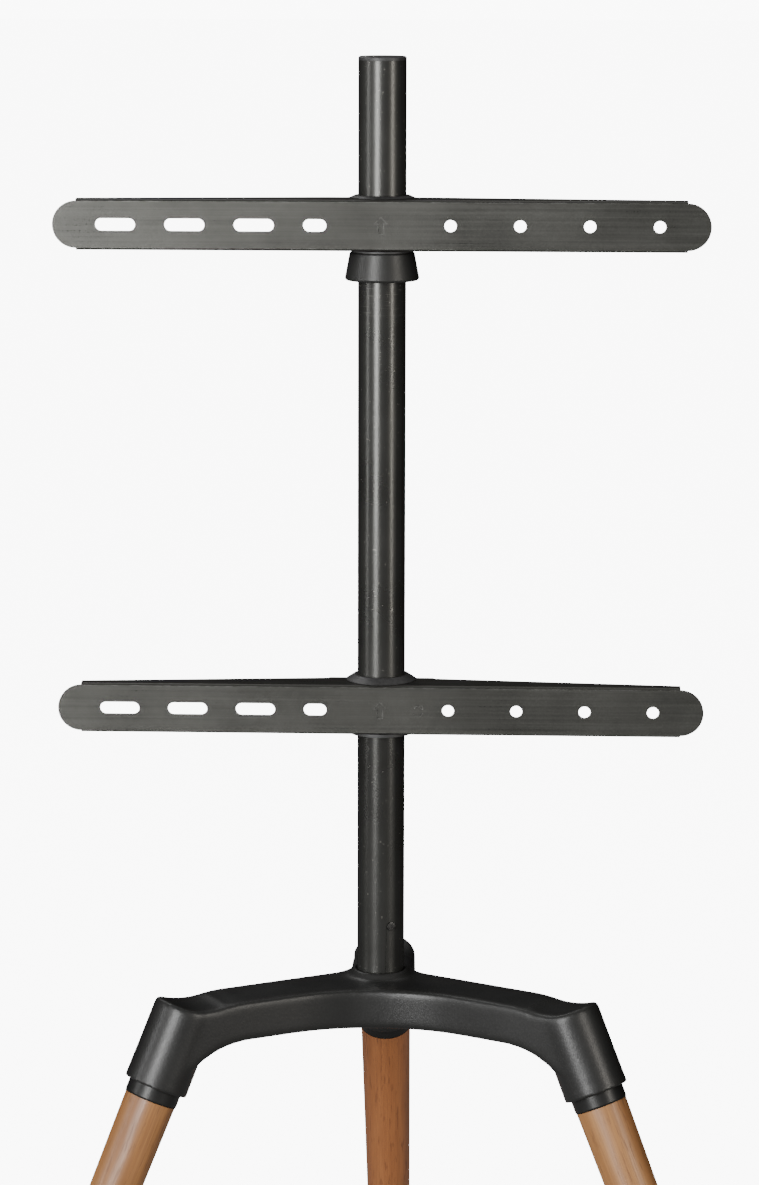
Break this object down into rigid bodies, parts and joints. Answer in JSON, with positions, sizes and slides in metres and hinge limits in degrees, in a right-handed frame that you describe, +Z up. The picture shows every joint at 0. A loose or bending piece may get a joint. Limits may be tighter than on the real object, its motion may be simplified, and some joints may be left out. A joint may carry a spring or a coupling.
{
  "type": "easel stand for a flat screen",
  "caption": "Floor easel for a flat screen: splayed wooden legs on a three-armed hub, a steel pole, and slotted rails that slide along the pole and turn about it.",
  "frame": {"origin": "on the floor at the centre of the stand's outline seen from above", "axes": "+Z up along the pole, -Y the front, where the screen is fastened; +X to the right seen from the front"},
  "size_m": [0.8466, 0.6556, 1.37],
  "materials": {
    "cast_black": "satin black paint on a die-cast hub",
    "powder_coat": "satin black powder coat on steel",
    "bare_aluminium": "turned",
    "black_plastic": "matte moulded plastic",
    "steel": "zinc plated",
    "blackened_steel": "blackened steel",
    "stained_wood": "red-brown stained beech under satin lacquer",
    "insert_brass": "machined",
    "foot_rubber": "matte"
  },
  "bodies": {
    "stand": {"hub_casting": "cast_black", "pole_tube": "powder_coat", "pole_plug": "bare_aluminium", "pole_cap": "black_plastic", "pole_base_bolt": "steel", "pole_side_screw": "blackened_steel", "leg_left": "stained_wood", "leg_right": "stained_wood", "leg_rear": "stained_wood", "leg_ferrule_left": "blackened_steel", "leg_ferrule_right": "blackened_steel", "leg_ferrule_rear": "blackened_steel", "leg_stud_left": "steel", "leg_stud_right": "steel", "leg_stud_rear": "steel", "socket_insert_left": "insert_brass", "socket_insert_right": "insert_brass", "socket_insert_rear": "insert_brass", "foot_left": "foot_rubber", "foot_right": "foot_rubber", "foot_rear": "foot_rubber"},
    "height_collar": {"height_collar": "powder_coat", "collar_grub_screw": "blackened_steel", "glide_washer": "black_plastic"},
    "upper_bracket": {"upper_rail": "powder_coat", "upper_sleeve": "black_plastic", "upper_keeper": "powder_coat", "upper_keeper_screws": "steel", "upper_keeper_nuts": "steel"},
    "lower_sleeve": {"lower_sleeve": "black_plastic"},
    "lower_bracket": {"lower_rail": "powder_coat", "lower_keeper": "powder_coat", "lower_keeper_screws": "steel", "lower_keeper_nuts": "steel"}
  },
  "joints": [
    {"name": "collar_slide", "type": "slide", "parent": "stand", "child": "height_collar", "axis": [0, 0, 1], "range_m": [-0.1, 0.09]},
    {"name": "upper_swivel", "type": "hinge", "parent": "height_collar", "child": "upper_bracket", "pos_m": [0, -0.07676, 1.24996], "axis": [0, 0, 1], "continuous": true},
    {"name": "lower_slide", "type": "slide", "parent": "stand", "child": "lower_sleeve", "axis": [0, 0, 1], "range_m": [-0.12, 0.15]},
    {"name": "lower_swivel", "type": "hinge", "parent": "lower_sleeve", "child": "lower_bracket", "pos_m": [0, -0.07676, 0.89496], "axis": [0, 0, 1], "continuous": true}
  ]
}
